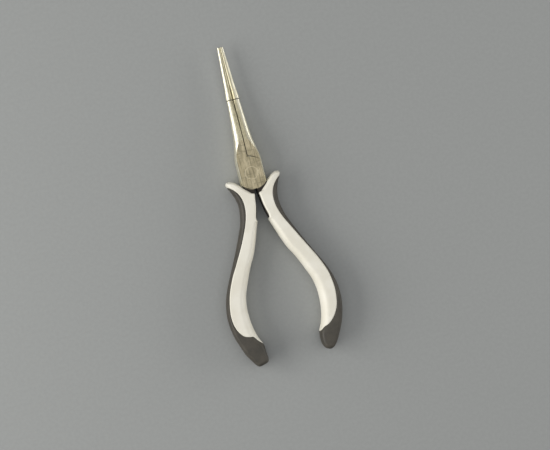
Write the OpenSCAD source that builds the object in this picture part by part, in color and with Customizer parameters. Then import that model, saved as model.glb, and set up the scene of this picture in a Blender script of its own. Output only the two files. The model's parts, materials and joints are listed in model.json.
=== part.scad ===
// Round nose pliers with slim conical jaws and two-part moulded grips.
// Two equal forgings cross in a lap joint and turn on one flush rivet. Each
// forging ends in a tang that carries a hard grip core and a soft grip cover.
// +Y points along the tool to the jaw tips, +Z is up along the rivet, and the
// closed pliers lie on the flat undersides of their grips at Z = 0. The origin
// is the middle of the footprint.

/* [Overall] */
// Distance from the rivet centre to the jaw tips
jaw_length = 60.9; // [56:0.1:66]
// Distance from the rivet centre to the grip ends
handle_length = 89.1; // [82:0.1:96]
// Width across both grips at their widest, with the jaws closed
grip_spread = 54.5; // [51:0.1:58]

/* [Lap joint] */
// Thickness of the joint through both plates
joint_thickness = 8.6; // [7.8:0.1:9.4]
// Width of the joint across its two flat sides
joint_width = 12.3; // [11.6:0.1:12.8]
// Radius of the round plate that turns inside the other forging's shoulders
plate_r = 7.5; // [7.3:0.05:7.7]
// Gap between a plate's rim and the shoulders round it
shoulder_gap = 0.2; // [0.1:0.05:0.4]
// Gap between the sliding faces of the two plates
plate_gap = 0.04; // [0.02:0.01:0.1]

/* [Rivet] */
// Diameter of each flush rivet head
rivet_head_d = 6.4; // [5.8:0.1:6.8]
// Diameter of the rivet shank
rivet_shank_d = 4.2; // [3.8:0.1:4.6]
// Depth of each countersunk head
rivet_head_h = 1.6; // [1.2:0.1:2]
// Radial clearance round the rivet in the half that turns on it
rivet_clearance = 0.04; // [0.02:0.01:0.1]

/* [Jaws] */
// Distance from the rivet to the line where the round nose begins
nose_start = 35.7; // [33:0.1:38]
// Length of the stout collar at the foot of each round nose
collar_length = 4.3; // [3.5:0.1:5]
// Diameter of one round nose at its tip
tip_d = 1.4; // [1.2:0.05:1.6]
// Diameter of one round nose where it leaves the collar
nose_d = 2.7; // [2.4:0.05:2.9]
// Diameter of the collar at its upper end
collar_top_d = 2.8; // [2.7:0.05:3]
// Diameter of the collar at its foot
collar_foot_d = 3.24; // [3:0.02:3.4]
// Gap between the flat inner faces of the closed jaws
jaw_gap = 0.3; // [0.2:0.05:0.5]
// Gap left between the two round noses when they close
nose_gap = 0.04; // [0.02:0.01:0.1]

/* [Tangs] */
// Thickness of the tang inside its grip
tang_thickness = 7; // [6:0.1:7.6]

/* [Grips] */
// Thickness of the grips
grip_thickness = 11; // [10:0.1:12]
// Radius of the rounded edges of the grips
grip_edge_r = 0.8; // [0.5:0.05:0.8]

/* [Hidden] */

$fn = 96;
steel = "#b5ad93";
rivet_steel = "#cfc4a0";
hard_plastic = "#e8e5da";
soft_plastic = "#4f4b45";

// Points drawn on each stretch of a smooth curve
curve_steps = 4;
// Angle between the rings that round a grip's edges
edge_step = 30;
// Length beyond a face that a cutting solid runs
over = 1;
// Depth of the collar's root in the jaw, and how much slimmer it is than the collar
root = 2;
root_inset = 0.3;
// Length by which the end of the jaw runs into the collar
jaw_overlap = 0.1;
// Length of the tang beyond the shoulders that keeps the full thickness of the joint
tang_root = 1.9;

pivot_y = (handle_length - jaw_length) / 2;
mid_z = grip_thickness / 2;
half_thickness = joint_thickness / 2;
half_width = joint_width / 2;
shoulder_r = plate_r + shoulder_gap;

// The round nose's axis lies this far from the parting plane at the collar's top and foot
collar_end = nose_start + collar_length;
nose_length = jaw_length - collar_end;
nose_lean = atan((nose_d - tip_d) / 2 / nose_length);
nose_axis_x = (nose_gap + nose_d) / 2;
collar_axis_x = nose_axis_x + collar_length * tan(nose_lean);
// The jaw's own axis leaves the tool's axis at this share of the way to the nose, and
// meets the collar's axis at its foot
jaw_axis_share = 0.406;
jaw_axis_start = jaw_axis_share * nose_start;
jaw_lean = atan(collar_axis_x / (nose_start - jaw_axis_start));

// The grip curves below are drawn for a handle of this length and spread
drawn_handle_length = 89.1;
drawn_grip_spread = 54.5;
// The jaw curves below are drawn for this length to the foot of the nose
drawn_nose_start = 35.7;

// Topmost point of the right grip, on its thumb guard, and the point of its end
grip_start = [11.8, -1.5];
grip_end = [15.8, -89];
// Lines across the right grip, from the thumb guard to the end: the point on
// the inner edge, then the point on the outer edge
grip_stations = [
    [[10.8, -1.65], [12.7, -1.9]],
    [[8.9, -2.6], [13.1, -2.9]],
    [[7, -4.2], [12.55, -4.4]],
    [[4.4, -6.6], [11.4, -6.7]],
    [[2.1, -8.7], [10.4, -9.2]],
    [[1.15, -9.9], [9.8, -11.4]],
    [[0.95, -11.8], [9.5, -14.2]],
    [[1.15, -15.2], [9.8, -17.6]],
    [[1.7, -19], [10.6, -21.5]],
    [[2.6, -22.9], [12.1, -25.5]],
    [[3.9, -26.9], [14.2, -30.2]],
    [[5.5, -31.8], [16.8, -35.8]],
    [[7.6, -37.3], [19.5, -41.2]],
    [[10.7, -43], [22.1, -46.3]],
    [[13.6, -49.6], [24.5, -51.5]],
    [[15.7, -55], [26.2, -56.6]],
    [[16.7, -60.6], [27.15, -62]],
    [[16.7, -66.4], [27.15, -67.3]],
    [[16, -71.8], [26.2, -73]],
    [[14.9, -76], [24.6, -77.9]],
    [[13.6, -79.2], [22.5, -82.4]],
    [[13.05, -82.6], [20.5, -86]],
    [[13.2, -85.6], [18.9, -88.1]],
    [[14, -87.8], [17.4, -88.95]],
];

// Line where the hard core meets the soft cover, from the thumb guard's tip
// to the inner edge near the end
grip_seam = [
    [14.5, -3.2], [12.9, -3.9], [10.3, -6], [8.2, -9], [7.15, -13],
    [7.5, -18], [9.5, -23.7], [13.5, -31.4], [18, -39.4], [21.4, -46.2],
    [23.9, -53.2], [25.1, -60.6], [24.5, -67.5], [22.5, -72.8],
    [19.2, -75.6], [15.9, -77.3], [14, -78.9], [12.6, -79.6],
];

// Notch in the core's inner edge, where the tang lies bare
bare_tang_notch = [[0.75, -10.6], [3.3, -21.4], [1.6, -22.6], [-2, -22.6], [-2, -10.6]];

// The tang's inner edge and outer edge, from the joint to its end
tang_inner = [
    [0.75, -5], [0.75, -10.5], [1.5, -15.5], [2.5, -20.3], [4.6, -27],
    [7.4, -33.5], [10.8, -40], [14.6, -47.5], [17.8, -55], [19.1, -62], [18.9, -70],
];
tang_outer = [
    [21.3, -70], [22, -62], [20.8, -54.4], [17.5, -46.6], [13.6, -38.8],
    [10.2, -32], [7.6, -25.5], [5.9, -19], [5.35, -13], [5.7, -8], [6.1, -4],
];

// Outer edge of one jaw, from the joint to the foot of the nose
jaw_edge = [[6.1, 7], [5.15, 12], [4.5, 16], [4.15, 20], [3.7, 25], [3.3, 30], [3, 35.7]];
// Radius about the jaw's own axis that rounds it, at distances from the rivet
jaw_round = [[8, 5], [7, 9], [6, 12], [5.2, 14.5], [4.35, 18], [3.1, 25], [2.35, 30], [1.44, 36.7]];

// One point of a smooth curve through b and c, at the fraction t of the way
function curve_point(a, b, c, d, t) =
    ((2 * b) + (c - a) * t + (2 * a - 5 * b + 4 * c - d) * t * t + (3 * b - a - 3 * c + d) * t * t * t) / 2;

// Smooth open curve through the points
function open_curve(points) = [
    for (i = [0 : len(points) - 2])
        for (k = [0 : curve_steps - 1])
            curve_point(
                points[max(i - 1, 0)], points[i], points[i + 1],
                points[min(i + 2, len(points) - 1)], k / curve_steps
            ),
    points[len(points) - 1],
];

// Smooth closed curve through the points
function closed_curve(points) = [
    for (i = [0 : len(points) - 1])
        for (k = [0 : curve_steps - 1])
            curve_point(
                points[(i + len(points) - 1) % len(points)], points[i],
                points[(i + 1) % len(points)], points[(i + 2) % len(points)], k / curve_steps
            ),
];

// A closed clockwise curve moved inwards by a distance
function inset_curve(points, distance) = [
    for (i = [0 : len(points) - 1])
        let (
            before = points[(i + len(points) - 1) % len(points)],
            after = points[(i + 1) % len(points)],
            along = (after - before) / norm(after - before)
        )
        points[i] + distance * [along.y, -along.x],
];

// Points drawn for the nominal handle or jaw, at the sizes set above
function handle_points(points) = [
    for (p = points) [p.x * grip_spread / drawn_grip_spread, p.y * handle_length / drawn_handle_length],
];
function jaw_points(points) = [for (p = points) [p.x, p.y * nose_start / drawn_nose_start]];

// Moves a shape drawn about the rivet's middle to its place in the part's frame
module in_place() {
    translate([0, pivot_y, mid_z]) children();
}

// A slab with rounded edges, centred on Z = 0. Its flat faces are laid in strips
// between the points i and count - i of the outline, which face each other.
module rounded_slab(points, thickness, edge_r) {
    angles = [for (a = [-90 : edge_step : 0]) a];
    turn = len(angles);
    lower_rings = [for (a = angles) [edge_r * (1 - cos(a)), edge_r * (1 + sin(a)) - thickness / 2]];
    rings = concat(lower_rings, [for (i = [turn - 1 : -1 : 0]) [lower_rings[i][0], -lower_rings[i][1]]]);
    count = len(points);
    last = (len(rings) - 1) * count;
    polyhedron(
        points = [for (ring = rings) for (p = inset_curve(points, ring[0])) [p.x, p.y, ring[1]]],
        faces = concat(
            [for (i = [0 : count / 2 - 1]) let (face = cap_face(i, count)) [
                for (k = [len(face) - 1 : -1 : 0]) face[k],
            ]],
            [for (i = [0 : count / 2 - 1]) [for (corner = cap_face(i, count)) last + corner]],
            [
                for (r = [0 : len(rings) - 2])
                    for (i = [0 : count - 1])
                        let (j = (i + 1) % count)
                        [r * count + i, r * count + j, (r + 1) * count + j, (r + 1) * count + i],
            ]
        )
    );
}

// One face of the strip across a slab's flat side: a triangle at either end
function cap_face(i, count) =
    i == 0 ? [0, 1, count - 1]
    : i == count / 2 - 1 ? [i, i + 1, count - i]
    : [i, i + 1, count - i - 1, count - i];

// Outline of the tang, from the joint to its end
module tang_outline() {
    polygon(handle_points(concat(open_curve(tang_inner), open_curve(tang_outer))));
}

// Full-thickness part of the tang near the joint, and the thinner part in the grip
module tang() {
    root_r = shoulder_r + tang_root;
    intersection() {
        linear_extrude(joint_thickness, center = true) tang_outline();
        cylinder(h = joint_thickness, r = root_r, center = true);
    }
    linear_extrude(tang_thickness, center = true) tang_outline();
}

// Flat outline of one jaw from the rivet's level to the foot of the nose
module jaw_outline() {
    jaw_end = nose_start + jaw_overlap;
    edge = jaw_points(open_curve(jaw_edge));
    polygon(concat(
        [[jaw_gap / 2, jaw_end], [jaw_gap / 2, 0], [half_width, 0], [half_width, 5]],
        edge,
        [[edge[len(edge) - 1].x, jaw_end]]
    ));
}

// Half-round body of one jaw with ground flats, from the joint to the foot of the nose
module jaw_body() {
    widest = jaw_round[0][0];
    intersection() {
        linear_extrude(joint_thickness, center = true) jaw_outline();
        translate([0, jaw_axis_start, 0]) rotate([-90, 0, -jaw_lean]) translate([0, 0, -jaw_axis_start])
            rotate_extrude() polygon(concat(
                [[0, -over], [widest, -over]], jaw_points(jaw_round), [[0, nose_start + over]]
            ));
    }
}

// Collar and long round nose of one jaw, turned about one leaning axis so that
// the nose lies along the parting plane
module jaw_nose() {
    foot_r = collar_foot_d / 2;
    profile = [
        [0, -collar_length - root],
        [foot_r - root_inset, -collar_length - root],
        [foot_r - root_inset, -collar_length],
        [foot_r, -collar_length],
        [collar_top_d / 2, 0],
        [nose_d / 2, 0],
        [tip_d / 2, nose_length],
        [0, nose_length],
    ];
    intersection() {
        translate([nose_axis_x, collar_end, 0]) rotate([-90, 0, nose_lean]) rotate_extrude() polygon(profile);
        translate([nose_gap / 4, 0, -joint_thickness / 2]) cube([joint_width, 2 * jaw_length, joint_thickness]);
    }
}

// One jaw
module jaw() {
    jaw_body();
    jaw_nose();
}

// The half-thickness plate that laps the other forging's plate
module lap_plate() {
    intersection() {
        translate([0, 0, -half_thickness]) cylinder(h = half_thickness - plate_gap / 2, r = plate_r);
        cube([joint_width, 2 * plate_r + over, 2 * joint_thickness], center = true);
    }
}

// Round recess in a forging's other layer, where the opposite plate turns
module plate_recess() {
    translate([0, 0, -plate_gap / 2]) cylinder(h = joint_thickness, r = shoulder_r);
}

// Body of revolution of the rivet's countersunk heads and shank, grown by a clearance
module rivet_shape(clearance = 0, extra = 0) {
    shank_r = rivet_shank_d / 2 + clearance;
    head_r = rivet_head_d / 2 + clearance;
    head_foot = half_thickness - rivet_head_h;
    rotate_extrude() polygon([
        [0, -half_thickness - extra], [head_r, -half_thickness - extra], [head_r, -half_thickness],
        [shank_r, -head_foot], [shank_r, head_foot],
        [head_r, half_thickness], [head_r, half_thickness + extra], [0, half_thickness + extra],
    ]);
}

// One forging about the rivet's middle: right jaw, lower plate and left tang
module forging(clearance) {
    difference() {
        union() {
            difference() {
                union() {
                    jaw();
                    mirror([1, 0, 0]) tang();
                }
                plate_recess();
            }
            lap_plate();
        }
        rivet_shape(clearance, over);
    }
}

module lower_half() {
    color(steel) in_place() forging(0);
}

// The same forging turned over about the tool's axis
module upper_half() {
    color(steel) in_place() rotate([0, 180, 0]) forging(rivet_clearance);
}

module pivot_rivet() {
    color(rivet_steel) in_place() rivet_shape();
}

// Whole grip moulding, before it is parted into core and cover
module grip_slab() {
    outline = concat(
        [grip_start], [for (s = grip_stations) s[1]], [grip_end],
        [for (i = [len(grip_stations) - 1 : -1 : 0]) grip_stations[i][0]]
    );
    rounded_slab(handle_points(closed_curve(outline)), grip_thickness, grip_edge_r);
}

// Flat region on the inner side of the seam, which belongs to the core
module core_region() {
    inner_side = [[-5, -79.6], [-5, 5], [14.5, 5]];
    polygon(handle_points(concat(open_curve(grip_seam), inner_side)));
}

// Hard core of the right grip, with a pocket for the tang
module grip_core() {
    difference() {
        intersection() {
            grip_slab();
            linear_extrude(2 * grip_thickness, center = true) core_region();
        }
        linear_extrude(2 * grip_thickness, center = true) polygon(handle_points(bare_tang_notch));
        tang();
    }
}

// Soft cover of the right grip: outer strip and end
module grip_cover() {
    difference() {
        grip_slab();
        linear_extrude(2 * grip_thickness, center = true) core_region();
    }
}

module right_grip_core() {
    color(hard_plastic) in_place() grip_core();
}

module left_grip_core() {
    color(hard_plastic) in_place() mirror([1, 0, 0]) grip_core();
}

module right_grip_cover() {
    color(soft_plastic) in_place() grip_cover();
}

module left_grip_cover() {
    color(soft_plastic) in_place() mirror([1, 0, 0]) grip_cover();
}

lower_half();
upper_half();
pivot_rivet();
left_grip_core();
right_grip_core();
left_grip_cover();
right_grip_cover();
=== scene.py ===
"""Looks of the round nose pliers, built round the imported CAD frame.

Every piece is drawn in millimetres about the rivet's middle, with +Y towards the
jaw tips and +Z up along the rivet, and is then moved to the frame's own place. The
parting plane is the upright plane X = 0 between the two jaws.
"""

import json
import math

import bmesh
import bpy
import numpy as np
from mathutils import Matrix, Vector


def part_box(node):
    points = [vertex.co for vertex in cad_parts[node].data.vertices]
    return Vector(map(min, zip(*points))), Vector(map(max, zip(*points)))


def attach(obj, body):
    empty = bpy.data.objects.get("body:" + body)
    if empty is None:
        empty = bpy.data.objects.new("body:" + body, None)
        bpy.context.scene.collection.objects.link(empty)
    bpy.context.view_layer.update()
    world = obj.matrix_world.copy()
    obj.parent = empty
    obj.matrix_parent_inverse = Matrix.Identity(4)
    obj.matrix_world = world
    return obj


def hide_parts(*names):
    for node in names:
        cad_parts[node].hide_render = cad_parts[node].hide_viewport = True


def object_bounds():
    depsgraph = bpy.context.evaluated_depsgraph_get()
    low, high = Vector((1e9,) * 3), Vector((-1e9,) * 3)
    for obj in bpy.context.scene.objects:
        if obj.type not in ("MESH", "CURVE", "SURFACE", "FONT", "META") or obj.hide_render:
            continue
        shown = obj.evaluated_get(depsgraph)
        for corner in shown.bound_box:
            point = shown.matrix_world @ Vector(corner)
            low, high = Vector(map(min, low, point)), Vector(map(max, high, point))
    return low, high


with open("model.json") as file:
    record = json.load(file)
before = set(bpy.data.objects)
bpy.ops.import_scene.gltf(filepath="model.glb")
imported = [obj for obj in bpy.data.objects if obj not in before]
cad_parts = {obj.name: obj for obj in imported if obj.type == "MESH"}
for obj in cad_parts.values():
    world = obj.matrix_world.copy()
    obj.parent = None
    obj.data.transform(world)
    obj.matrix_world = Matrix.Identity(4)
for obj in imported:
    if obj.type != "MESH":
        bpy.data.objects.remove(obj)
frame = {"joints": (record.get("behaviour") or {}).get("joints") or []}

MM = 0.001
CAD_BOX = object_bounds()

# ---------------------------------------------------------------- driving sizes

LOW, HIGH = (Vector(corner) / MM for corner in CAD_BOX)
HINGE = frame["joints"][0]
PIVOT = Vector(HINGE["pos_m"]) / MM
RIVET_LOW, RIVET_HIGH = (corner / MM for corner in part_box("pivot_rivet"))

JAW_LENGTH = HIGH.y - PIVOT.y
HANDLE_LENGTH = PIVOT.y - LOW.y
GRIP_SPREAD = HIGH.x - LOW.x
GRIP_HALF = (HIGH.z - LOW.z) / 2
JOINT_HALF = (RIVET_HIGH.z - RIVET_LOW.z) / 2
RIVET_R = (RIVET_HIGH.x - RIVET_LOW.x) / 2

# The grips and tangs below are drawn for a handle of this length and a pair of this spread
DRAWN_HANDLE = 89.12
DRAWN_SPREAD = 54.6

# Lap joint: the rim of each half's plate, and the other half's shoulder round it
PLATE_R = 7.5
SHOULDER_R = 7.6
# The shoulder's own curve is set off the rivet, so that its gap opens towards the parting line
SHOULDER_CUT_R = 7.82
SHOULDER_CUT_PLACE = (-0.85, 0.5)
# Half the gap between the sliding faces
PLATE_GAP = 0.02
# How far cutters reach past what they cut
PAST = 1.0
# The single jaw starts here, just clear of the plate's rim, after a step of this length
JAW_START = 7.55
JAW_STEP = 0.02

# Jaws: distances from the rivet to the collar's foot and top, then the radii upwards
NOSE_START = 35.7
COLLAR_END = 40.0
COLLAR_FOOT_R = 1.69
COLLAR_TOP_R = 1.42
NOSE_R = 1.35
TIP_R = 0.7
# Gap between each nose and the parting plane
NOSE_GAP = 0.02
# Stub that joins the collar to the inside of the jaw
ROOT_R = 1.48
ROOT_LENGTH = 2.0
# Chamfers of the tip and of the collar's foot and top
TIP_CHAMFER = 0.12
FOOT_CHAMFER = 0.1
TOP_CHAMFER = 0.08
# Fine recess round the nose above the collar: its depth and its length
RECESS_DEPTH = 0.06
RECESS_LENGTH = 0.12
# Narrow groove between the end of the jaw and the collar
NECK_LENGTH = 0.35
# Groove along the parting line of the closed jaws: half its width from the joint to the
# collar, and its depth
GROOVE_HALF = ((7.5, 0.14), (12.0, 0.14), (34.0, 0.25))
GROOVE_DEPTH = 0.45
# Distance of each jaw's inner wall from the parting plane
WALL_X = 0.02

# Tang: half its thickness, its bevel, and how far it keeps off the other half's shoulder
TANG_HALF = 3.5
TANG_BEVEL = 0.3
TANG_CLEAR = 0.5
# Distance from the rivet to the unpolished stretch of the tangs
TANG_BARE = 7.5
# Where the tang's inner edge leaves the joint, and where its full-height root ends
TANG_CROTCH = 0.75
ROOT_END = 9.6

# Rivet: how far it lies below the joint's faces, the chamfer of its heads, and the width of
# the ring of faces inside the chamfer
RIVET_SINK = 0.015
RIVET_CHAMFER = 0.07
RIVET_RING = 0.9
# Its hole: the clearance round the rivet, at the faces and inside, and the chamfer's depth
HOLE_WIDE = 0.12
HOLE_TIGHT = 0.02
HOLE_CHAMFER = 0.1

# ---------------------------------------------------------------- outlines

# Topmost point of the right grip, on its thumb guard
GRIP_START = (11.8, -1.5)
# Lines across the right grip: the point on the inner edge, then on the outer edge
GRIP_STATIONS = (
    ((10.8, -1.65), (12.7, -1.9)),
    ((8.9, -2.6), (13.1, -2.9)),
    ((7.0, -4.2), (12.55, -4.4)),
    ((4.4, -6.6), (11.4, -6.7)),
    ((2.1, -8.7), (10.4, -9.2)),
    ((1.15, -9.9), (9.8, -11.4)),
    ((0.95, -11.8), (9.5, -14.2)),
    ((1.15, -15.2), (9.8, -17.6)),
    ((1.7, -19.0), (10.6, -21.5)),
    ((2.6, -22.9), (12.1, -25.5)),
    ((4.05, -26.9), (14.2, -30.2)),
    ((5.75, -31.8), (16.8, -35.8)),
    ((7.95, -37.3), (19.5, -41.2)),
    ((11.05, -43.0), (22.1, -46.3)),
    ((13.95, -49.6), (24.5, -51.5)),
    ((16.05, -55.0), (26.2, -56.6)),
    ((17.05, -60.6), (27.15, -62.0)),
    ((17.05, -66.4), (27.15, -67.3)),
    ((16.3, -71.8), (26.2, -73.0)),
    ((15.05, -76.0), (24.6, -77.9)),
)
# The last lines and the end's own point: one grip ends round, the other is cut off aslant
ROUND_TAIL = (
    ((13.6, -79.2), (22.5, -82.4)),
    ((13.05, -82.6), (20.5, -86.0)),
    ((13.2, -85.6), (18.9, -88.1)),
    ((14.0, -87.8), (17.4, -88.95)),
)
ROUND_END = (15.8, -89.0)
SLANT_TAIL = (
    ((13.6, -79.2), (23.0, -82.2)),
    ((13.3, -82.6), (20.6, -86.1)),
    ((13.05, -86.2), (19.2, -88.15)),
    ((13.7, -87.85), (17.9, -88.95)),
)
SLANT_END = (15.9, -88.65)
# Seams between the hard core and the soft cover, down the outer side of each core. Both are
# drawn for the right side: the left grip's seam turns in squarely, the right one's in a curve
LEFT_SEAM = (
    (14.5, -3.2), (12.9, -3.9), (10.3, -6.0), (8.2, -9.0), (7.15, -13.0),
    (7.45, -18.0), (9.2, -23.7), (12.75, -31.4), (17.1, -39.4), (20.95, -46.2),
    (23.85, -53.2), (25.45, -60.6), (25.45, -66.0), (24.2, -70.2), (21.9, -73.2), (19.4, -74.2),
    (17.6, -74.6), (16.2, -76.4), (14.4, -78.3), (12.6, -79.6),
)
RIGHT_SEAM = (
    (14.5, -3.2), (12.9, -3.9), (10.3, -6.0), (8.2, -9.0), (7.15, -13.0),
    (7.5, -18.0), (9.5, -23.7), (13.4, -31.4), (17.6, -39.4), (21.1, -46.2),
    (23.75, -53.2), (24.9, -60.6), (24.5, -66.8), (23.2, -71.2), (20.9, -74.8), (18.2, -77.2),
    (15.9, -78.1), (14.4, -79.2), (12.6, -80.4),
)
# Edge of the core beside the bare stretch of the tang
NOTCH = (
    (-1.0, -9.4), (0.6, -9.6), (1.2, -10.8), (1.95, -16.0), (3.2, -21.4), (2.2, -22.7), (-1.0, -22.9),
)

# The tang's inner edge and outer edge, from the joint to its end
TANG_INNER = (
    (0.8, -5.0), (0.8, -10.5), (1.5, -15.5), (2.5, -20.3), (5.1, -27.0),
    (7.9, -33.5), (11.2, -40.0), (15.0, -47.5), (18.1, -55.0), (19.3, -62.0), (18.9, -70.0),
)
TANG_OUTER = (
    (21.3, -70.0), (22.0, -62.0), (20.8, -54.4), (17.5, -46.6), (13.6, -38.8),
    (10.2, -32.0), (7.6, -25.5), (5.9, -19.0), (5.35, -13.0), (5.7, -8.0), (6.0, -5.4),
)

# Along a half, from the root of its tang to the collar, at distances from the rivet:
# half the width of the pair,
BODY_WIDTH = (
    (-10.0, 5.9), (-4.0, 6.15), (0.0, 6.15), (5.0, 6.15), (7.0, 6.08), (9.0, 5.8), (12.0, 5.15),
    (16.0, 4.5), (20.0, 4.12), (25.0, 3.7), (30.0, 3.3), (36.0, 2.94),
)
# half the height that the section has before its flats are ground,
BODY_HEIGHT = (
    (-10.0, 5.6), (8.0, 5.6), (9.5, 5.45), (11.0, 5.1), (12.0, 4.83), (13.0, 4.63), (14.0, 4.54),
    (15.0, 4.46), (15.7, 4.39), (16.3, 4.25), (18.0, 3.98), (20.0, 3.68), (25.0, 2.95), (30.0, 2.2),
    (36.0, 1.45),
)
# how square the section is: 2 is an ellipse, and more is squarer,
BODY_POWER = (
    (-10.0, 3.6), (8.0, 3.8), (11.0, 4.0), (13.0, 4.0), (16.0, 3.3), (20.0, 2.8), (25.0, 2.7),
    (36.0, 2.5),
)
# and how far the middle of one jaw's section lies from the parting plane
JAW_MIDDLE = ((13.0, 0.0), (16.0, 0.1), (20.0, 0.38), (36.0, 1.5))


# ---------------------------------------------------------------- curves and distances

def smooth_curve(points, steps, closed=False):
    """Catmull-Rom curve through the points, with so many steps on each stretch."""
    p = np.array(points, float)
    count = len(p)
    spans = count if closed else count - 1
    out = []
    for i in range(spans):
        if closed:
            a, b, c, d = (p[(i + k) % count] for k in (-1, 0, 1, 2))
        else:
            a, b, c, d = (p[min(max(i + k, 0), count - 1)] for k in (-1, 0, 1, 2))
        for k in range(steps):
            t = k / steps
            out.append((2 * b + (c - a) * t + (2 * a - 5 * b + 4 * c - d) * t**2
                        + (3 * b - a - 3 * c + d) * t**3) / 2)
    if not closed:
        out.append(p[-1])
    return np.array(out)


def on_handle(points):
    """Points drawn for the nominal handle, at the frame's own handle length and spread."""
    return np.array(points, float) * (GRIP_SPREAD / DRAWN_SPREAD, HANDLE_LENGTH / DRAWN_HANDLE)


def along_curve(table, y):
    """Value at y of the smooth curve through a table of (y, value) pairs."""
    curve = smooth_curve(table, steps=16)
    return np.interp(y, curve[:, 0], curve[:, 1])


def smooth_step(low, high, x):
    """0 below low, 1 above high, and a smooth rise between."""
    t = np.clip((np.asarray(x, float) - low) / (high - low), 0, 1)
    return t * t * (3 - 2 * t)


def line_distance(points, line):
    """Distance of each point from a polyline, positive on the line's right-hand side."""
    at_once = 2000
    start, step = line[:-1], np.diff(line, axis=0)
    length2 = (step**2).sum(1)
    best = np.full(len(points), np.inf)
    side = np.ones(len(points))
    for first in range(0, len(points), at_once):
        block = points[first:first + at_once, None, :] - start[None]
        t = np.clip((block * step).sum(2) / length2, 0, 1)
        gap = block - t[..., None] * step
        d2 = (gap**2).sum(2)
        nearest = d2.argmin(1)
        rows = np.arange(len(nearest))
        cross = step[nearest, 0] * block[rows, nearest, 1] - step[nearest, 1] * block[rows, nearest, 0]
        best[first:first + at_once] = np.sqrt(d2[rows, nearest])
        side[first:first + at_once] = np.where(cross > 0, -1, 1)
    return best * side


def round_over(distance, width, power):
    """Height from 0 at an edge to 1 at the given width, as a rounded-square quarter."""
    t = 1 - np.clip(np.abs(distance) / width, 0, 1)
    return (1 - t**power) ** (1 / power)


# ---------------------------------------------------------------- mesh helpers

def mesh_object(name, points, faces):
    """A new object in the scene from points in millimetres about the rivet's middle."""
    mesh = bpy.data.meshes.new(name)
    mesh.from_pydata([(Vector(p) + PIVOT) * MM for p in points], [], faces)
    mesh.validate()
    obj = bpy.data.objects.new(name, mesh)
    bpy.context.scene.collection.objects.link(obj)
    return obj


def clean_normals(obj):
    """Merges doubled points and turns every face outwards."""
    doubled = 0.0001
    bm = bmesh.new()
    bm.from_mesh(obj.data)
    bmesh.ops.remove_doubles(bm, verts=bm.verts, dist=doubled * MM)
    bmesh.ops.recalc_face_normals(bm, faces=bm.faces)
    bm.to_mesh(obj.data)
    bm.free()


def shade(obj, sharp_degrees):
    """Smooth shading, with the edges sharper than the angle kept crisp."""
    bm = bmesh.new()
    bm.from_mesh(obj.data)
    limit = math.radians(sharp_degrees)
    for edge in bm.edges:
        edge.smooth = len(edge.link_faces) == 2 and edge.calc_face_angle(0) < limit
    for face in bm.faces:
        face.smooth = True
    bm.to_mesh(obj.data)
    bm.free()


def crisp_flats(obj):
    """Keeps the rims of the ground flats crisp, however gently the sides fall away from them."""
    upright = 0.9999
    bm = bmesh.new()
    bm.from_mesh(obj.data)
    for edge in bm.edges:
        level = {abs(face.normal.z) > upright for face in edge.link_faces}
        if len(level) > 1:
            edge.smooth = False
    bm.to_mesh(obj.data)
    bm.free()


def apply_modifiers(obj):
    """Bakes the object's modifiers into its mesh."""
    graph = bpy.context.evaluated_depsgraph_get()
    mesh = bpy.data.meshes.new_from_object(obj.evaluated_get(graph))
    obj.modifiers.clear()
    obj.data = mesh


def combine(obj, tool, how):
    """Union, difference or intersection of obj with tool, which is used up."""
    modifier = obj.modifiers.new("combine", "BOOLEAN")
    modifier.operation = how
    modifier.solver = "EXACT"
    modifier.object = tool
    apply_modifiers(obj)
    bpy.data.objects.remove(tool)
    return obj


def bevel_edges(obj, width, degrees):
    """Rounds every edge sharper than the angle."""
    modifier = obj.modifiers.new("bevel", "BEVEL")
    modifier.width = width * MM
    modifier.segments = 2
    modifier.limit_method = "ANGLE"
    modifier.angle_limit = math.radians(degrees)
    modifier.use_clamp_overlap = True
    apply_modifiers(obj)


def rings_to_faces(rings, ring_size):
    """Quads between successive closed rings of points, and a face across each end."""
    faces = []
    for low in range(0, (rings - 1) * ring_size, ring_size):
        high = low + ring_size
        for i in range(ring_size):
            j = (i + 1) % ring_size
            faces.append((low + i, low + j, high + j, high + i))
    faces.append(tuple(range(ring_size))[::-1])
    faces.append(tuple((rings - 1) * ring_size + i for i in range(ring_size)))
    return faces


def turned(name, profile, segments=96):
    """A closed solid turned about +Z from (radius, height) pairs, flat at both ends."""
    points = []
    for radius, height in profile:
        for i in range(segments):
            angle = 2 * math.pi * i / segments
            points.append((radius * math.cos(angle), radius * math.sin(angle), height))
    obj = mesh_object(name, points, rings_to_faces(len(profile), segments))
    clean_normals(obj)
    return obj


def plate(name, outline, half_height, bevel=0.0):
    """A flat outline extruded as far up as down from the sliding faces, with bevelled edges."""
    count = len(outline)
    points = [(x, y, z) for z in (-half_height, half_height) for x, y in outline]
    obj = mesh_object(name, points, rings_to_faces(2, count))
    clean_normals(obj)
    if bevel:
        bevel_edges(obj, bevel, degrees=60)
    return obj


# ---------------------------------------------------------------- forgings

# Distance between the sections
SECTION_STEP = 0.35
# Points along a quarter of a section: first over its top, crowded towards the parting plane by
# this power, then round its side, which starts at least at this share of the section's reach
TOP_POINTS = 10
TOP_CROWDING = 1.4
SIDE_POINTS = 14
SIDE_START = 0.42


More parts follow.
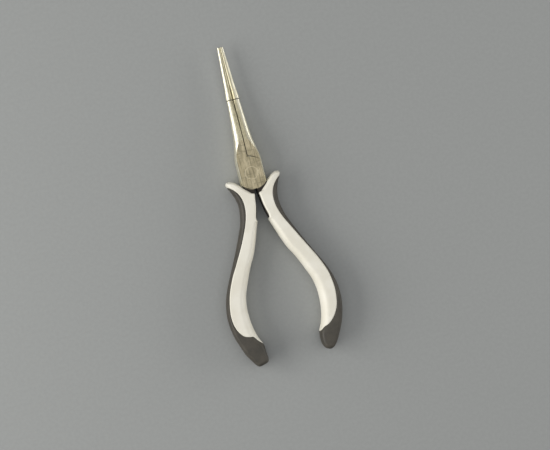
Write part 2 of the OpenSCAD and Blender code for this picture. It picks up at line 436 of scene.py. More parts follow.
def half_section(y):
    """Points round the right side of a section, from its top inner edge to its bottom inner edge."""
    width = float(along_curve(BODY_WIDTH, y))
    height = float(along_curve(BODY_HEIGHT, y))
    power = float(along_curve(BODY_POWER, y))
    middle = float(np.interp(y, *zip(*JAW_MIDDLE)))
    reach = width - middle
    inner = float(np.interp(y, *zip(*GROOVE_HALF))) if y > JAW_START else 0.0
    flat_height = min(JOINT_HALF / height, 1.0)
    flat_rim = (1 - flat_height**power) ** (1 / power)
    turn = max(flat_rim, SIDE_START)
    quarter = []
    for i in range(TOP_POINTS):
        x = inner + (middle + turn * reach - inner) * (i / TOP_POINTS) ** TOP_CROWDING
        share = min(abs(x - middle) / reach, 1.0)
        quarter.append((x, min(height * (1 - share**power) ** (1 / power), JOINT_HALF)))
    start = math.acos(turn ** (power / 2))
    for i in range(SIDE_POINTS + 1):
        angle = start * (1 - i / SIDE_POINTS)
        x = middle + reach * math.cos(angle) ** (2 / power)
        quarter.append((x, min(height * math.sin(angle) ** (2 / power), JOINT_HALF)))
    return quarter + [(x, -z) for x, z in quarter[-2::-1]]


def body_loft(name):
    """Solid through the sections: as wide as the pair up to the plate's rim, and one jaw beyond it."""
    rings = []
    joint_rows = int((JAW_START + ROOT_END) / SECTION_STEP)
    jaw_end = NOSE_START - NECK_LENGTH
    jaw_rows = int((jaw_end - JAW_START) / SECTION_STEP)
    for y in np.linspace(-ROOT_END, JAW_START, joint_rows):
        right = half_section(y)
        rings.append((y, right + [(-x, z) for x, z in right[::-1]]))
    for y in np.linspace(JAW_START + JAW_STEP, jaw_end, jaw_rows):
        right = half_section(y)
        wall_top = right[0][1] - GROOVE_DEPTH
        wall = [(WALL_X, z) for z in np.linspace(-wall_top, wall_top, len(right))]
        rings.append((y, right + wall))
    points = [(x, y, z) for y, ring in rings for x, z in ring]
    obj = mesh_object(name, points, rings_to_faces(len(rings), len(rings[0][1])))
    clean_normals(obj)
    return obj


def arc(radius, start, end, steps=48):
    """Points of an arc about the rivet between two angles in degrees."""
    return [
        (radius * math.cos(a), radius * math.sin(a))
        for a in np.radians(np.linspace(start, end, steps + 1))
    ]


def rim_cutter(name):
    """Cutter for what lies past the plate's rim on the other jaw's side and the other tang's side."""
    far = 60
    wall = WALL_X / 2
    at_wall = math.degrees(math.acos(wall / PLATE_R))
    jaw_side = [(wall, far), (-far, far), (-far, 0)] + arc(PLATE_R, 180, at_wall)
    crotch = 270 - math.degrees(math.asin(TANG_CROTCH / PLATE_R))
    tang_side = [(-TANG_CROTCH, -far), (far, -far), (far, 0)] + arc(PLATE_R, 360, crotch)
    cutter = plate(name, jaw_side, 2 * JOINT_HALF)
    return combine(cutter, plate("tang_side", tang_side, 2 * JOINT_HALF), "UNION")


def nose(name):
    """Collar and round nose of the right jaw, turned about one leaning axis."""
    reach = JAW_LENGTH - COLLAR_END
    collar = COLLAR_END - NOSE_START
    lean = math.atan((NOSE_R - TIP_R) / reach)
    length = (reach - TIP_R * math.sin(lean)) / math.cos(lean)
    profile = [
        (ROOT_R, -collar - ROOT_LENGTH),
        (ROOT_R, -collar),
        (COLLAR_FOOT_R - FOOT_CHAMFER, -collar),
        (COLLAR_FOOT_R, -collar + FOOT_CHAMFER),
        (COLLAR_TOP_R, -TOP_CHAMFER),
        (NOSE_R - RECESS_DEPTH, 0),
        (NOSE_R - RECESS_DEPTH, RECESS_LENGTH),
    ]
    rings = 12
    first_ring = 0.009
    shares = np.linspace(first_ring, 1 - TIP_CHAMFER / length, rings)
    profile += [(NOSE_R + (TIP_R - NOSE_R) * t, length * t) for t in shares]
    profile.append((TIP_R - TIP_CHAMFER, length))
    obj = turned(name, profile, segments=64)
    place = Matrix.Translation(Vector((NOSE_GAP + NOSE_R, COLLAR_END, 0)) * MM)
    turn = Matrix.Rotation(lean, 4, "Z") @ Matrix.Rotation(-math.pi / 2, 4, "X")
    about = Matrix.Translation(PIVOT * MM)
    obj.data.transform(about @ place @ turn @ about.inverted())
    for vertex in obj.data.vertices:
        vertex.co.x = max(vertex.co.x, (PIVOT.x + NOSE_GAP / 2) * MM)
    return obj


def disc(name, radius, low, high, place=(0, 0)):
    """Plain round cutter between two heights."""
    cutter = turned(name, [(radius, low), (radius, high)], segments=192)
    cutter.data.transform(Matrix.Translation(Vector((*place, 0)) * MM))
    return cutter


def rivet_hole(name):
    """Cutter for the rivet's hole, with fine chamfers at both faces."""
    wide = RIVET_R + HOLE_WIDE
    tight = RIVET_R + HOLE_TIGHT
    upper = [(tight, JOINT_HALF - HOLE_CHAMFER), (wide, JOINT_HALF), (wide, JOINT_HALF + PAST)]
    return turned(name, [(radius, -z) for radius, z in upper[::-1]] + upper)


def forging(name):
    """Right jaw, lower plate and left tang about the rivet's middle, as one solid."""
    body = body_loft(name)
    combine(body, rim_cutter("rim"), "DIFFERENCE")
    top = JOINT_HALF + PAST
    for radius, place in ((SHOULDER_R, (0, 0)), (SHOULDER_CUT_R, SHOULDER_CUT_PLACE)):
        combine(body, disc("recess", radius, -PLATE_GAP, top, place), "DIFFERENCE")
    outline = on_handle(np.vstack([smooth_curve(edge, steps=5) for edge in (TANG_INNER, TANG_OUTER)]))
    bar = plate("bar", outline * (-1, 1), TANG_HALF, TANG_BEVEL)
    combine(bar, disc("clear", SHOULDER_R + TANG_CLEAR, -top, top), "DIFFERENCE")
    combine(body, bar, "UNION")
    combine(body, nose("nose"), "UNION")
    combine(body, rivet_hole("hole"), "DIFFERENCE")
    clean_normals(body)
    return body


def mirror_sideways(obj):
    """Mirrors the object in the parting plane between the two halves."""
    about = Matrix.Translation(PIVOT * MM)
    obj.data.transform(about @ Matrix.Diagonal((-1, 1, 1, 1)) @ about.inverted())
    obj.data.flip_normals()


def turn_over(obj):
    """Turns the object half a turn about the tool's own axis."""
    about = Matrix.Translation(PIVOT * MM)
    obj.data.transform(about @ Matrix.Rotation(math.pi, 4, "Y") @ about.inverted())


def rivet(name):
    """Round rivet with a fine chamfer at both faces, just below the face of the joint."""
    top = JOINT_HALF - RIVET_SINK
    upper = [
        (RIVET_R, JOINT_HALF - RIVET_CHAMFER),
        (RIVET_R - RIVET_CHAMFER, top),
        (RIVET_R - RIVET_RING, top),
    ]
    return turned(name, [(radius, -z) for radius, z in upper[::-1]] + upper, segments=128)


# ---------------------------------------------------------------- grips

# Steps between two drawn points, and cells across a grip
GRIP_STEPS = 8
ACROSS = 30
# Outer shoulders of the grips: the width of the round foot, the width of the bevel above it on
# the handle, the thumb guard and the end, how far the bevel falls as a share of the height, how
# the fall is bent, and how square the foot is
FOOT_WIDTH = 0.9
BEVEL_WIDTH = 1.5
GUARD_BEVEL = 1.4
END_BEVEL = 1.7
BEVEL_FALL = 0.24
BEVEL_CURVE = 1.35
FOOT_POWER = 2.3
# Stretches along the handle over which the shoulders change into the guard's and the end's
GUARD_TURN = (-14, -9)
END_TURN = (-76, -83)
# Width of the rounder inner shoulders, at distances from the rivet
INNER_WIDTH = ((-90.0, 3.2), (-70.0, 4.0), (-50.0, 3.3), (-30.0, 2.7), (-20.0, 1.9), (0.0, 1.5))
# How much thinner the thumb guard and the end are than the middle, as a share, and the
# stretches across and along the handle over which they thin
GUARD_THINNING = 0.16
GUARD_ACROSS = (7, 13.5)
GUARD_ALONG = (-12, -5)
END_THINNING = 0.07
END_ALONG = (-72, -88)
# Groove over the seam: the gap to its middle line, its half width and its depth
SEAM_GAP = 0.05
SEAM_ROUND = 0.5
SEAM_DEPTH = 0.42
SEAM_STEPS = (SEAM_GAP, 0.15, 0.3, SEAM_ROUND)
SEAM_CUTS = tuple(-step for step in SEAM_STEPS[::-1]) + SEAM_STEPS
# Beside the bare tang the core has an upright wall instead of a shoulder: how far the top
# falls towards it as a share of the height, over what width, how far past the grip's edge the
# shoulder is moved there, and the stretches along the handle where that begins and ends
NOTCH_FALL = 0.1
NOTCH_WIDTH = 0.7
NOTCH_SHIFT = 1.6
NOTCH_BEGIN = (-9.2, -10.2)
NOTCH_FINISH = (-23.0, -21.6)
NOTCH_CUTS = (0.0, NOTCH_WIDTH)


def grip_chains(steps, tail, end):
    """The right grip's outer and inner edges from the guard's top to the grip's end, point for point."""
    stations = GRIP_STATIONS + tail
    loop = [GRIP_START] + [s[1] for s in stations] + [end] + [s[0] for s in stations[::-1]]
    curve = smooth_curve(on_handle(loop), steps, closed=True)
    half = len(curve) // 2
    outer = curve[:half + 1]
    inner = np.vstack((curve[:1], curve[:half - 1:-1]))
    return outer, inner


def plan_grid(outer, inner):
    """Flat mesh of the right grip seen from above, laid in lines from the inner to the outer edge."""
    shares = (1 - np.cos(np.linspace(0, math.pi, ACROSS + 1))) / 2
    bm = bmesh.new()
    lines = []
    for i, (a, b) in enumerate(zip(inner, outer)):
        if i in (0, len(inner) - 1):
            lines.append([bm.verts.new((a[0], a[1], 0))] * (ACROSS + 1))
        else:
            lines.append([bm.verts.new((*(a + (b - a) * s), 0)) for s in shares])
    for first, second in zip(lines, lines[1:]):
        for j in range(ACROSS):
            ring = [first[j], first[j + 1], second[j + 1], second[j]]
            corners = [v for k, v in enumerate(ring) if v is not ring[k - 1]]
            bm.faces.new(corners)
    return bm


def cut_plan(bm, line, levels):
    """Cuts the flat mesh along lines at set distances from a polyline.

    An edge whose ends differ by more than the jump lies past the polyline's end, where the
    distance changes sign without passing through 0."""
    near = 1e-5
    jump = 3
    for level in levels:
        bm.verts.index_update()
        points = np.array([v.co[:2] for v in bm.verts])
        value = line_distance(points, line) - level
        on_line = [v for v in bm.verts if abs(value[v.index]) < near]
        crossing = []
        for edge in bm.edges:
            a, b = (value[v.index] for v in edge.verts)
            if a * b < 0 and abs(a) >= near and abs(b) >= near and abs(a - b) < jump:
                crossing.append((edge, a / (a - b)))
        for edge, share in crossing:
            on_line.append(bmesh.utils.edge_split(edge, edge.verts[0], share)[1])
        bmesh.ops.connect_verts(bm, verts=on_line)


def raised_solid(name, corners, faces, height, boundary_cut):
    """Closed solid whose top and bottom stand at plus and minus the height over a flat mesh.

    corners are the flat points, faces their indices, and boundary_cut says which points lie
    on a cut edge, where the solid gets an upright wall instead of closing to nothing."""
    nothing = 1e-6
    flat = (height < nothing) & ~boundary_cut
    points = []
    top, bottom = {}, {}
    for i, (x, y) in enumerate(corners):
        top[i] = len(points)
        points.append((x, y, height[i]))
        if flat[i]:
            bottom[i] = top[i]
        else:
            bottom[i] = len(points)
            points.append((x, y, -height[i]))
    solid = []
    edges = {}
    for face in faces:
        solid.append([top[i] for i in face])
        solid.append([bottom[i] for i in reversed(face)])
        for a, b in zip(face, face[1:] + face[:1]):
            edges.setdefault(frozenset((a, b)), []).append((a, b))
    for uses in edges.values():
        a, b = uses[0]
        if len(uses) == 1 and not (flat[a] and flat[b]):
            ring = [top[b], top[a], bottom[a], bottom[b]]
            solid.append([v for k, v in enumerate(ring) if v != ring[k - 1]])
    obj = mesh_object(name, points, solid)
    clean_normals(obj)
    return obj


def shoulder(edge, bevel):
    """Share of the full height at a distance in from the edge, over a round foot and a bevel."""
    slope = 1 - BEVEL_FALL * (1 - np.clip(edge / bevel, 0, 1)) ** BEVEL_CURVE
    return slope * round_over(edge, FOOT_WIDTH, FOOT_POWER)


def grip_height(points, outer, inner, seam, notch):
    """Half thickness of the right grip over each flat point, and how far each lies from the cuts."""
    ellipse = 2
    on_edge = 1e-6
    x, y = points[:, 0], points[:, 1]
    guard = smooth_step(*GUARD_TURN, y)
    end = smooth_step(*END_TURN, y)
    bevel = BEVEL_WIDTH + (GUARD_BEVEL - BEVEL_WIDTH) * guard + (END_BEVEL - BEVEL_WIDTH) * end
    shift = NOTCH_SHIFT * smooth_step(*NOTCH_BEGIN, y) * smooth_step(*NOTCH_FINISH, y)
    inner_edge = np.abs(line_distance(points, inner))
    inner_edge += shift * (inner_edge > on_edge)
    outer_edge = np.abs(line_distance(points, outer))
    inner_shoulder = round_over(inner_edge, along_curve(INNER_WIDTH, y), ellipse)
    rounded = shoulder(outer_edge, bevel) * inner_shoulder
    bevelled = shoulder(np.minimum(inner_edge, outer_edge), bevel)
    height = GRIP_HALF * (rounded + (bevelled - rounded) * end)
    height *= 1 - GUARD_THINNING * smooth_step(*GUARD_ACROSS, x) * smooth_step(*GUARD_ALONG, y)
    height *= 1 - END_THINNING * smooth_step(*END_ALONG, y)
    from_seam = line_distance(points, seam)
    from_notch = line_distance(points, notch)
    groove = SEAM_DEPTH * (1 - np.clip(np.abs(from_seam) / SEAM_ROUND, 0, 1)) ** 2
    height = np.where(height > SEAM_DEPTH * 2, height - groove, height)
    height *= 1 - NOTCH_FALL * smooth_step(NOTCH_WIDTH, 0, from_notch)
    return height, from_seam, from_notch


def grip_pieces(side, seam_points, tail, end):
    """Core and cover of one grip, drawn as the right one. The seam runs alike on both faces."""
    seam = smooth_curve(on_handle(seam_points), steps=12)
    notch = smooth_curve(on_handle(NOTCH), steps=8)[::-1]
    bm = plan_grid(*grip_chains(GRIP_STEPS, tail, end))
    cut_plan(bm, seam, SEAM_CUTS)
    cut_plan(bm, notch, NOTCH_CUTS)
    bm.verts.index_update()
    points = np.array([v.co[:2] for v in bm.verts])
    edges = grip_chains(GRIP_STEPS * 4, tail, end)
    height, from_seam, from_notch = grip_height(points, *edges, seam, notch)
    faces = [[v.index for v in face.verts] for face in bm.faces]
    bm.free()
    centre_seam = np.array([from_seam[f].mean() for f in faces])
    centre_notch = np.array([from_notch[f].mean() for f in faces])
    slack = 1.1
    touching = 1e-4
    on_seam = np.abs(from_seam) < SEAM_GAP * slack
    on_notch = np.abs(from_notch) < touching
    pieces = []
    for part, keep in (
        ("core", (centre_seam > SEAM_GAP) & (centre_notch > 0)),
        ("cover", centre_seam < -SEAM_GAP),
    ):
        kept = [f for f, k in zip(faces, keep) if k]
        used = sorted({i for f in kept for i in f})
        order = {old: new for new, old in enumerate(used)}
        corners = [[order[i] for i in f] for f in kept]
        cut = (on_seam | on_notch)[used]
        obj = raised_solid(f"{side}_grip_{part}_skin", points[used], corners, height[used], cut)
        if side == "left":
            mirror_sideways(obj)
        shade(obj, sharp_degrees=50)
        pieces.append(obj)
    return pieces


# ---------------------------------------------------------------- materials

class Shader:
    """A new material, with short calls for the nodes that every finish here uses."""

    def __init__(self, name):
        self.material = bpy.data.materials.new(name)
        self.material.use_nodes = True
        self.tree = self.material.node_tree
        self.surface = self.tree.nodes["Principled BSDF"]
        coordinates = self.tree.nodes.new("ShaderNodeTexCoord")
        self.place = coordinates.outputs["Object"]

    def link(self, value, socket):
        """Sets a socket from another node's output or from a plain value."""
        if isinstance(value, bpy.types.NodeSocket):
            self.tree.links.new(value, socket)
        else:
            socket.default_value = value

    def stretched(self, scale, turn=0.0):
        """Object coordinates in millimetres, scaled along each axis."""
        node = self.tree.nodes.new("ShaderNodeMapping")
        node.inputs["Scale"].default_value = [s / MM for s in scale]
        node.inputs["Rotation"].default_value = (0, 0, turn)
        self.link(self.place, node.inputs["Vector"])
        return node.outputs["Vector"]

    def noise(self, scale, size=1.0, detail=2.0, rough=0.5, turn=0.0):
        """Noise of a feature size in millimetres, stretched by scale along each axis."""
        node = self.tree.nodes.new("ShaderNodeTexNoise")
        self.link(self.stretched(scale, turn), node.inputs["Vector"])
        node.inputs["Scale"].default_value = 1 / size
        node.inputs["Detail"].default_value = detail
        node.inputs["Roughness"].default_value = rough
        return node.outputs["Fac"]

    def cells(self, size):
        """Distance to the nearest of scattered points a feature size apart."""
        node = self.tree.nodes.new("ShaderNodeTexVoronoi")
        self.link(self.stretched((1, 1, 1)), node.inputs["Vector"])
        node.inputs["Scale"].default_value = 1 / size
        return node.outputs["Distance"]

    def ranged(self, value, low, high, to_low=0.0, to_high=1.0):
        """Maps a value from one range to another, and clamps it there."""
        node = self.tree.nodes.new("ShaderNodeMapRange")
        node.interpolation_type = "SMOOTHSTEP"
        self.link(value, node.inputs["Value"])
        limits = {"From Min": low, "From Max": high, "To Min": to_low, "To Max": to_high}
        for name, number in limits.items():
            node.inputs[name].default_value = number
        return node.outputs["Result"]

    def sums(self, how, a, b):
        """Arithmetic on two values."""
        node = self.tree.nodes.new("ShaderNodeMath")
        node.operation = how
        self.link(a, node.inputs[0])
        self.link(b, node.inputs[1])
        return node.outputs["Value"]

    def mixed(self, share, a, b):
        """Colour between a and b."""
        node = self.tree.nodes.new("ShaderNodeMix")
        node.data_type = "RGBA"
        self.link(share, node.inputs["Factor"])
        self.link(a if isinstance(a, bpy.types.NodeSocket) else (*a, 1), node.inputs["A"])
        self.link(b if isinstance(b, bpy.types.NodeSocket) else (*b, 1), node.inputs["B"])
        return node.outputs["Result"]

    def from_rivet(self):
        """Distances from the rivet's middle in millimetres: sideways, along the tool and in height."""
        node = self.tree.nodes.new("ShaderNodeSeparateXYZ")
        self.link(self.place, node.inputs["Vector"])
        x, y, z = (self.sums("DIVIDE", node.outputs[axis], MM) for axis in "XYZ")
        sideways = self.sums("ABSOLUTE", x, 0.0)
        along = self.sums("SUBTRACT", y, PIVOT.y)
        height = self.sums("ABSOLUTE", self.sums("SUBTRACT", z, PIVOT.z), 0.0)
        return sideways, along, height

    def across(self):
        """Distance from the rivet's axis, in millimetres."""
        node = self.tree.nodes.new("ShaderNodeVectorMath")
        node.operation = "SUBTRACT"
        self.link(self.place, node.inputs[0])
        node.inputs[1].default_value = [c * MM for c in PIVOT]
        flat = self.tree.nodes.new("ShaderNodeVectorMath")
        flat.operation = "MULTIPLY"
        self.link(node.outputs["Vector"], flat.inputs[0])
        flat.inputs[1].default_value = (1 / MM, 1 / MM, 0)
        length = self.tree.nodes.new("ShaderNodeVectorMath")
        length.operation = "LENGTH"
        self.link(flat.outputs["Vector"], length.inputs[0])
        return length.outputs["Value"]

    def bump(self, height, depth, under=None):
        """Bump of a depth in millimetres, laid over an earlier bump."""
        node = self.tree.nodes.new("ShaderNodeBump")
        node.inputs["Distance"].default_value = depth * MM
        self.link(height, node.inputs["Height"])
        if under is not None:
            self.link(under, node.inputs["Normal"])
        return node.outputs["Normal"]

    def finish(self, **sockets):
        """Sets the surface's sockets by name, with underscores for spaces."""
        for name, value in sockets.items():
            self.link(value, self.surface.inputs[name.replace("_", " ")])
        return self.material


def ground_face(s):
    """Colour and roughness of a face ground flat, and its streaks along the tool for a bump."""
    grime = (0.20, 0.18, 0.12)
    streaks = s.noise((2.2, 0.16, 2.2), size=1.0, detail=4, rough=0.6)
    fine = s.noise((9, 0.5, 9), size=1.0, detail=4, rough=0.6)
    cross = s.noise((0.16, 2.0, 0.16), size=1.0, detail=3, rough=0.6)
    patch = s.noise((1, 1, 1), size=4.0, detail=1)
    stain = s.noise((1, 0.55, 1), size=3.2, detail=4, rough=0.6)
    colour = s.mixed(s.ranged(stain, 0.35, 0.7), (0.53, 0.47, 0.32), (0.68, 0.61, 0.44))
    colour = s.mixed(s.ranged(streaks, 0.34, 0.58, 0.6, 0.0), colour, grime)
    crossed = s.sums("MULTIPLY", s.ranged(cross, 0.36, 0.48, 0.45, 0.0), s.ranged(patch, 0.42, 0.6))
    colour = s.mixed(crossed, colour, grime)
    colour = s.mixed(s.ranged(fine, 0.5, 0.75, 0.0, 0.35), colour, (0.72, 0.66, 0.50))
    return colour, s.ranged(fine, 0.2, 0.8, 0.66, 0.78), streaks


# The ground face ends this far from the rivet, and the jaws' inner sides, duller and darkened with
# painted shade, set in before it
GROUND_END = 16.4
INNER_BEGIN = GROUND_END - 3
# The jaws' half width falls off about evenly from this width at the rivet
JAW_WIDTH_AT_RIVET = 5.96
JAW_WIDTH_FALL = 0.073
# The tangs turn to dark bare scale over this stretch along the handle. The dark there also stands in
# for the shade between the grips, as painted shade. The dark scale and painted shade in the parting
# groove fade out between these distances from the parting plane
TANG_TURN = (-4.5, -5.5)
GROOVE_SIDE = (0.25, 0.1)


def flat_share(s, along, height):
    """1 on the ground flats of the joint and the jaws' roots."""
    flat = s.ranged(height, JOINT_HALF - 0.015, JOINT_HALF - 0.005)
    return s.sums("MULTIPLY", flat, s.ranged(along, GROUND_END, GROUND_END - 1))


def scale_and_shade_share(s, sideways, along):
    """1 where the steel is painted dark: bare scale on the tangs, partly painted shade between the
    grips, painted shade in the necks under the collars, and dark scale with painted shade in the parting
    groove.
    """
    # Dark scale on the bare tangs, which also paints the shade in the gap between the grips
    past_rim = s.ranged(s.across(), TANG_BARE, TANG_BARE + 0.5)
    tang = s.sums("MULTIPLY", past_rim, s.ranged(along, *TANG_TURN))
    # Painted shade along the parting groove between the jaws, with dark scale on the hidden inner faces
    past_plate = s.ranged(along, PLATE_R, PLATE_R + 0.05)
    groove = s.sums("MULTIPLY", s.ranged(sideways, *GROOVE_SIDE), past_plate)
    groove = s.sums("MULTIPLY", groove, s.ranged(along, NOSE_START, NOSE_START - 0.1))
    # Painted shade: a dark line in the narrow neck groove under the collar, where shade falls
    neck_foot = NOSE_START - NECK_LENGTH
    painted_neck_shade = s.sums("MULTIPLY", s.ranged(along, NOSE_START + 0.02, NOSE_START - 0.05),
                  s.ranged(along, neck_foot - 0.1, neck_foot + 0.02))
    return s.sums("MAXIMUM", s.sums("MAXIMUM", tang, s.sums("MULTIPLY", painted_neck_shade, 0.9)), groove)


def polished_side(s, sideways, along, polish):
    """Colour of the satin sides: bright, darker on the inner half of each jaw and nose, partly a duller
    finish and partly painted shade, with a painted light strip where the noses meet.
    """
    scratch = (0.16, 0.15, 0.095)
    jaw_width = s.sums("SUBTRACT", JAW_WIDTH_AT_RIVET, s.sums("MULTIPLY", along, JAW_WIDTH_FALL))
    across_jaw = s.sums("DIVIDE", sideways, jaw_width)
    # Painted shade: the inner half of each jaw and nose is darkened, standing in for the darker
    # reflections there, together with a duller finish
    inner = s.ranged(across_jaw, 0.58, 0.34)
    inner = s.sums("MULTIPLY", inner, s.ranged(along, INNER_BEGIN, GROUND_END))
    stain = s.noise((1, 0.4, 1), size=4.0, detail=3, rough=0.5)
    lines = s.noise((5, 0.3, 5), size=1.0, detail=3, rough=0.6)
    on_nose = s.ranged(along, COLLAR_END - 1, COLLAR_END + 3)
    # Painted light: the innermost strip of each nose is lightened, so the groove where the noses meet
    # shows less shade
    painted_nose_light = s.sums("MULTIPLY", on_nose, s.ranged(across_jaw, 0.3, 0.1))
    colour = s.mixed(s.ranged(stain, 0.3, 0.7), (0.86, 0.82, 0.66), (0.95, 0.915, 0.77))
    colour = s.mixed(s.ranged(polish, 0.38, 0.56, 0.4, 0.0), colour, (0.56, 0.53, 0.38))
    dull_and_shaded = s.mixed(on_nose, (0.60, 0.545, 0.36), (0.34, 0.31, 0.195))
    colour = s.mixed(s.sums("MULTIPLY", inner, 0.9), colour, dull_and_shaded)
    scratched = s.sums("MULTIPLY", inner, s.ranged(lines, 0.40, 0.56, 0.5, 0.0))
    colour = s.mixed(scratched, colour, scratch)
    return s.mixed(s.sums("MULTIPLY", painted_nose_light, 0.8), colour, (0.90, 0.86, 0.70))


def forged_steel(name):
    """Ground flats, satin polished sides, and dark paint: scale on the tangs, partly painted shade
    between the grips, and painted shade in the necks and the parting groove.
    """
    s = Shader(name)
    sideways, along, height = s.from_rivet()
    flat = flat_share(s, along, height)
    scale = scale_and_shade_share(s, sideways, along)
    polish = s.noise((1.6, 0.25, 1.6), size=1.0, detail=3, rough=0.5)
    ground, rough_ground, streaks = ground_face(s)
    colour = s.mixed(flat, polished_side(s, sideways, along, polish), ground)
    # Dark scale, with painted shade in the necks, the parting groove and between the grips
    colour = s.mixed(scale, colour, (0.06, 0.053, 0.045))
    rough_side = s.ranged(polish, 0.2, 0.8, 0.38, 0.48)
    rough = s.sums("ADD", s.sums("MULTIPLY", rough_ground, flat),
                   s.sums("MULTIPLY", rough_side, s.sums("SUBTRACT", 1.0, flat)))
    rough = s.sums("MAXIMUM", rough, s.sums("MULTIPLY", scale, 0.55))
    normal = s.bump(s.sums("MULTIPLY", streaks, flat), 0.02, s.bump(polish, 0.006))
    return s.finish(Base_Color=colour, Metallic=1.0, Roughness=rough, Normal=normal)


def rivet_steel(name):
    """Rivet head ground with the joint's face, lighter towards its rim."""
    s = Shader(name)
    face, rough, streaks = ground_face(s)
    rim = s.ranged(s.across(), RIVET_R - 0.6, RIVET_R - 0.3, 0.0, 0.6)
    colour = s.mixed(rim, face, (0.76, 0.69, 0.52))
    return s.finish(Base_Color=colour, Metallic=1.0, Roughness=rough, Normal=s.bump(streaks, 0.015))


def hard_plastic(name):
    """Light moulded plastic with a fine grain and faint handling marks."""
    s = Shader(name)
    cloud = s.noise((1, 1, 1), size=9.0, detail=3, rough=0.5)
    speck = s.noise((1, 1, 1), size=0.5, detail=2, rough=0.6)
    grain = s.cells(0.28)
    wave = s.noise((1, 1, 1), size=2.5, detail=2)
    mark = s.noise((2.4, 0.35, 2.4), size=1.2, detail=4, rough=0.7, turn=0.35)
    colour = s.mixed(s.ranged(cloud, 0.35, 0.65), (0.82, 0.785, 0.675), (0.88, 0.85, 0.75))
    colour = s.mixed(s.ranged(speck, 0.62, 0.8, 0.0, 0.18), colour, (0.62, 0.58, 0.48))
    colour = s.mixed(s.ranged(mark, 0.62, 0.75, 0.0, 0.12), colour, (0.60, 0.58, 0.52))
    rough = s.ranged(wave, 0.3, 0.7, 0.34, 0.46)
    normal = s.bump(grain, 0.008, s.bump(wave, 0.03))
    return s.finish(Base_Color=colour, Roughness=rough, Normal=normal, Specular_IOR_Level=0.45)


def soft_plastic(name):
    """Dark soft-touch plastic with a fine leathery grain."""
    s = Shader(name)
    cloud = s.noise((1, 1, 1), size=5.0, detail=3, rough=0.55)
    grain = s.cells(0.4)
    fine = s.noise((1, 1, 1), size=0.18, detail=2)
    dust = s.noise((1, 1, 1), size=1.2, detail=4, rough=0.7)
    colour = s.mixed(s.ranged(cloud, 0.35, 0.65), (0.052, 0.047, 0.037), (0.074, 0.066, 0.052))
    colour = s.mixed(s.ranged(dust, 0.6, 0.8, 0.0, 0.25), colour, (0.14, 0.13, 0.11))
    rough = s.ranged(cloud, 0.3, 0.7, 0.46, 0.6)
    normal = s.bump(fine, 0.01, s.bump(grain, 0.02))
    return s.finish(Base_Color=colour, Roughness=rough, Normal=normal, Specular_IOR_Level=0.4)


def floor_paper(name):
    """Plain light grey paper under the pliers."""
    s = Shader(name)
    fibre = s.noise((1, 1, 1), size=1.5, detail=3)
    colour = s.mixed(s.ranged(fibre, 0.3, 0.7), (0.335, 0.345, 0.34), (0.35, 0.36, 0.355))
    return s.finish(Base_Color=colour, Roughness=0.8, Specular_IOR_Level=0.2)


def paint(obj, material):
    """Gives the whole object one material."""
    obj.data.materials.clear()
    obj.data.materials.append(material)


# ---------------------------------------------------------------- the pliers

def build_steel():
    """Both forgings and the rivet."""
    steel = forged_steel("forged_steel_finish")
    lower = forging("lower_forging")
    upper = lower.copy()
    upper.name = "upper_forging"
    upper.data = lower.data.copy()
    bpy.context.scene.collection.objects.link(upper)
    turn_over(upper)
    for obj, node in ((lower, "lower_half"), (upper, "upper_half")):
        shade(obj, sharp_degrees=30)
        crisp_flats(obj)
        paint(obj, steel)
        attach(obj, node)
        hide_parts(node)
    pin = rivet("flush_rivet")
    shade(pin, sharp_degrees=30)
    paint(pin, rivet_steel("rivet_finish"))
    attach(pin, "lower_half")
    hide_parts("pivot_rivet")


def build_grips():
    """Hard cores and soft covers of both grips."""
    hard = hard_plastic("hard_plastic_finish")
    soft = soft_plastic("soft_plastic_finish")
    for side, body, shape in (
        ("left", "lower_half", (LEFT_SEAM, SLANT_TAIL, SLANT_END)),
        ("right", "upper_half", (RIGHT_SEAM, ROUND_TAIL, ROUND_END)),
    ):
        core, cover = grip_pieces(side, *shape)
        for obj, part, material in ((core, "core", hard), (cover, "cover", soft)):
            paint(obj, material)
            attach(obj, body)
            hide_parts(f"{side}_grip_{part}")


# ---------------------------------------------------------------- stage, lights, camera

def build_floor():
    """Plain light grey floor under the pliers."""
    half = 1500
    z = -PIVOT.z
    corners = [(-half, -half, z), (half, -half, z), (half, half, z), (-half, half, z)]
    floor = mesh_object("floor", corners, [(0, 1, 2, 3)])
    paint(floor, floor_paper("floor_paper"))


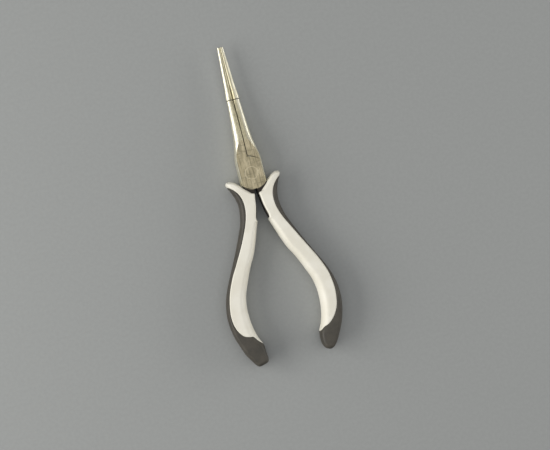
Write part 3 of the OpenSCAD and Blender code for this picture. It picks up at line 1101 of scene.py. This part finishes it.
def area_light(name, place, aim, size, power, colour):
    """Soft rectangular light, placed and aimed in millimetres in the frame."""
    data = bpy.data.lights.new(name, "AREA")
    data.shape = "RECTANGLE"
    data.size, data.size_y = (s * MM for s in size)
    data.energy = power
    data.color = colour
    obj = bpy.data.objects.new(name, data)
    obj.location = Vector(place) * MM
    obj.rotation_euler = (Vector(place) - Vector(aim)).to_track_quat("Z", "Y").to_euler()
    bpy.context.scene.collection.objects.link(obj)


def build_lights():
    """Key light low on the left, a weaker and lower one on the right, and a broad ceiling."""
    aim = (0, -10, 0)
    area_light("key_light", (-740, 60, 350), aim, (900, 620), 6.2, (1.0, 0.985, 0.95))
    area_light("side_light", (800, -40, 210), aim, (900, 300), 2.9, (1.0, 0.985, 0.95))
    area_light("ceiling_light", (0, 0, 1300), aim, (1600, 1600), 6.5, (1.0, 1.0, 1.0))
    world = bpy.data.worlds.new("room")
    world.use_nodes = True
    world.node_tree.nodes["Background"].inputs["Color"].default_value = (0.97, 0.98, 1.0, 1)
    world.node_tree.nodes["Background"].inputs["Strength"].default_value = 0.22
    bpy.context.scene.world = world


def build_camera():
    """Camera above the pliers and a little to their left, turned so that they lean to the left."""
    tilt = math.radians(5)
    roll = math.radians(-13.95)
    distance = 620
    picture_width = 256.3
    middle = Vector((4.7, -26.3, GRIP_HALF))
    sensor = 36
    data = bpy.data.cameras.new("camera")
    data.sensor_width = sensor
    data.lens = sensor * distance / picture_width
    data.clip_start = 0.01
    data.clip_end = 10
    obj = bpy.data.objects.new("camera", data)
    place = (PIVOT + middle + Vector((0, 0, distance))) * MM
    level = Matrix.Translation(place) @ Matrix.Rotation(roll, 4, "Z")
    about = Matrix.Translation((PIVOT + Vector((0, 0, JOINT_HALF))) * MM)
    obj.matrix_world = about @ Matrix.Rotation(-tilt, 4, "Y") @ about.inverted() @ level
    bpy.context.scene.collection.objects.link(obj)
    bpy.context.scene.camera = obj


build_floor()
build_lights()
build_camera()
build_steel()
build_grips()
bpy.context.scene.view_settings.view_transform = "Standard"
